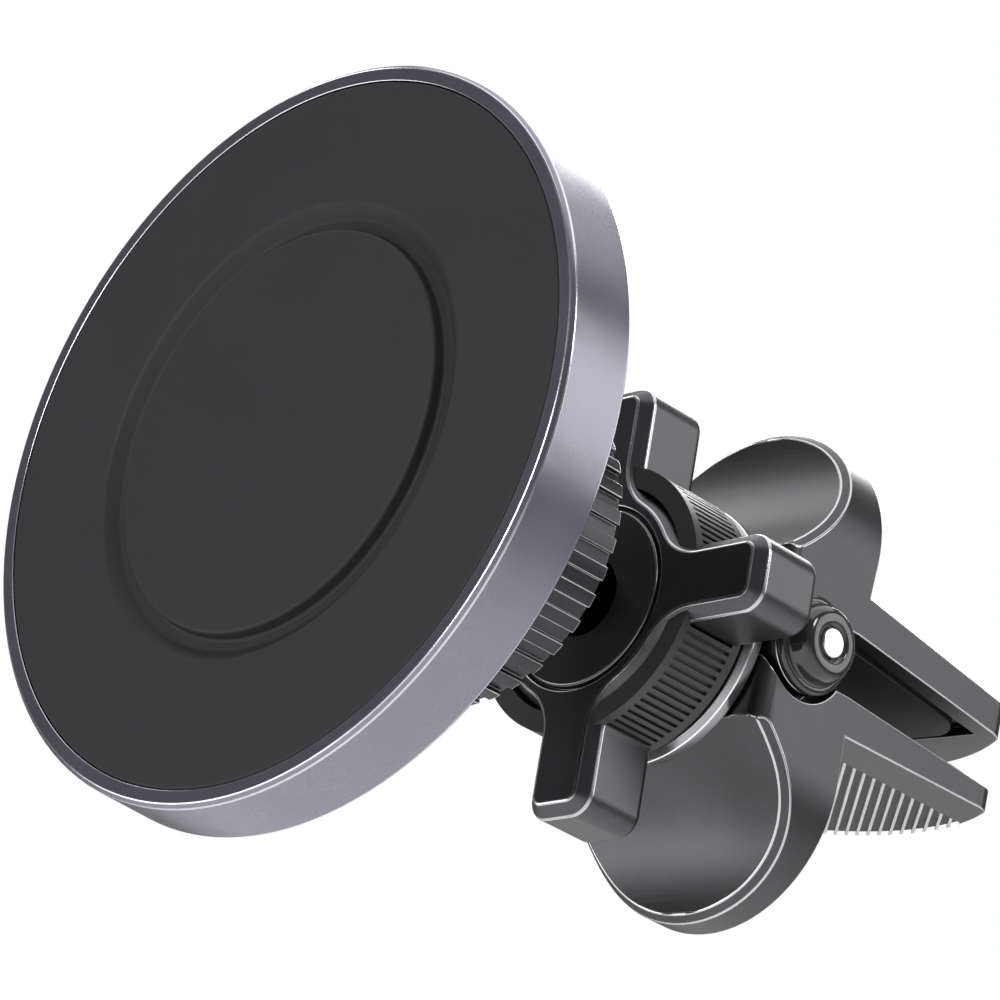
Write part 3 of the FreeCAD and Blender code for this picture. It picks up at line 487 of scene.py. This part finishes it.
# %% Three screws in their seats
_, screws_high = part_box("cover_screws")
HEAD_THICK = SCREW["Thick"] * MM
tree, sizes = screw_tree(looks["screw_steel"][0])
holder = bpy.data.objects.new("holder", bpy.data.meshes.new("holder"))
bpy.context.scene.collection.objects.link(holder)
ring = holder.modifiers.new("screws", "NODES")
ring.node_group = tree
ring[sizes["Thick"]] = HEAD_THICK
settled = holder.evaluated_get(bpy.context.evaluated_depsgraph_get())
screw_mesh = bpy.data.meshes.new_from_object(settled)
bpy.data.objects.remove(holder)
stand = Matrix(((0, 1, 0, 0), (0, 0, 1, screws_high.y - HEAD_THICK / 2), (1, 0, 0, 0), (0, 0, 0, 1)))
screw_mesh.transform(stand)
screws = bpy.data.objects.new("cover_screws.heads", screw_mesh)
bpy.context.scene.collection.objects.link(screws)
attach(screws, body_of_node["cover_screws"])
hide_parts("cover_screws")
print("three screw heads,", len(screw_mesh.polygons), "faces")

# %% [markdown]
# ## The inner solids
#
# What sits inside the head and the wheel is hardly seen.  It keeps its own mesh and takes a finish.

# %% The inner solids keep their meshes and take a finish
inner = 0
for node, solid in nodes.items():
    if node not in ROUNDS and not solid.hide_render:
        solid.data.materials.clear()
        solid.data.materials.append(looks[slot_of_node[node]][0])
        inner += 1
print(inner, "inner solids dressed")

# %% [markdown]
# ## Camera
#
# The mount is seen from its right, from the front and from below, with the head towards us.  A
# long lens keeps the round head's ellipse true.

# %% Camera
camera_right = Vector((0.70905, 0.67736, 0.19608))
camera_up = Vector((0.10112, -0.37286, 0.92238))
camera_ahead = Vector((-0.69788, 0.63418, 0.33287))
camera_place = Vector((0.29098, -0.24071, -0.13495))
camera_data = bpy.data.cameras.new("camera")
camera_data.lens = 193.3
camera_data.sensor_width = 36
camera_data.clip_start = 0.01
camera = bpy.data.objects.new("camera", camera_data)
bpy.context.scene.collection.objects.link(camera)
turn = Matrix((camera_right, camera_up, -camera_ahead)).transposed()
camera.matrix_world = Matrix.Translation(camera_place) @ turn.to_4x4()
bpy.context.scene.camera = camera
print("camera set with a", round(camera_data.lens), "mm lens")

# %% [markdown]
# ## Light
#
# Dark satin metal shows what is around it, so the light is nine soft panels placed for their
# reflections.  The ones behind and to the sides light the bezel and the levers, the two in front
# light the wheel's bevels, and a wide ceiling fills the rest.

# %% Panels
AIM = Vector((0.0083, 0.0161, 0))


def panel(name, right, up, near, size, glow):
    """A soft panel, placed by how far right, up and near the viewer it stands; glow is its brightness."""
    data = bpy.data.lights.new(name, "AREA")
    data.shape = "RECTANGLE"
    data.size, data.size_y = size
    data.energy = glow * math.pi * size[0] * size[1]
    light = bpy.data.objects.new(name, data)
    bpy.context.scene.collection.objects.link(light)
    light.location = AIM + camera_right * right + camera_up * up - camera_ahead * near
    light.rotation_euler = (AIM - light.location).to_track_quat("-Z", "Y").to_euler()
    light.visible_camera = False


panel("back panel", 0.14, 0.18, -0.56, (0.30, 0.30), 9.0)
panel("right wall", 0.60, 0.085, 0.0, (0.35, 0.35), 2.2)
panel("under panel", -0.06, -0.36, -0.45, (0.30, 0.20), 0.2)
panel("left strip", -0.60, -0.03, 0.0, (0.45, 0.16), 3.0)
panel("low left panel", -0.36, -0.37, 0.27, (0.12, 0.12), 9.0)
panel("top back strip", -0.24, 0.38, -0.44, (0.30, 0.10), 3.5)
panel("front left panel", -0.45, 0.30, 0.42, (0.30, 0.30), 10.0)
panel("high right panel", 0.45, 0.40, 0.25, (0.15, 0.15), 12.0)
panel("ceiling", 0.13, 0.60, -0.22, (0.90, 0.90), 1.3)

# %% [markdown]
# ## Room
#
# The room is white to the eye but gives only a little light, so the metal stays dark.

# %% Room
ROOM_SEEN = 1.0
ROOM_FELT = 0.22
world = bpy.data.worlds.new("room")
bpy.context.scene.world = world
world.use_nodes = True
room = world.node_tree
seen = room.nodes.new("ShaderNodeBackground")
seen.inputs["Color"].default_value = (1, 1, 1, 1)
seen.inputs["Strength"].default_value = ROOM_SEEN
felt = room.nodes["Background"]
felt.inputs["Color"].default_value = (0.95, 0.96, 1, 1)
felt.inputs["Strength"].default_value = ROOM_FELT
choice = room.nodes.new("ShaderNodeMixShader")
rays = room.nodes.new("ShaderNodeLightPath")
room.links.new(rays.outputs["Is Camera Ray"], choice.inputs[0])
room.links.new(felt.outputs[0], choice.inputs[1])
room.links.new(seen.outputs[0], choice.inputs[2])
room.links.new(choice.outputs[0], room.nodes["World Output"].inputs["Surface"])
print("room set")

# %% [markdown]
# ## Floor
#
# The mount hangs well above a plain pale sheet, which glows a little so that it stays pale.

# %% Floor
FLOOR_DROP = 0.25
FLOOR_REACH = 1.5
FLOOR_GLOW = 0.18
floor_mesh = bpy.data.meshes.new("floor")
floor_corners = [(-FLOOR_REACH, -FLOOR_REACH, -FLOOR_DROP), (FLOOR_REACH, -FLOOR_REACH, -FLOOR_DROP),
                 (FLOOR_REACH, FLOOR_REACH, -FLOOR_DROP), (-FLOOR_REACH, FLOOR_REACH, -FLOOR_DROP)]
floor_mesh.from_pydata(floor_corners, [], [(0, 1, 2, 3)])
floor = bpy.data.objects.new("floor", floor_mesh)
bpy.context.scene.collection.objects.link(floor)
paper = finish("floor paper", (0.85, 0.85, 0.85), 0.9, 0.0, 1.0, 20, drift=0.02)
glow = paper.node_tree.nodes["Principled BSDF"].inputs
glow["Emission Color"].default_value = (1, 1, 1, 1)
glow["Emission Strength"].default_value = FLOOR_GLOW
floor_mesh.materials.append(paper)

bpy.context.scene.view_settings.view_transform = "Standard"
print("floor laid")
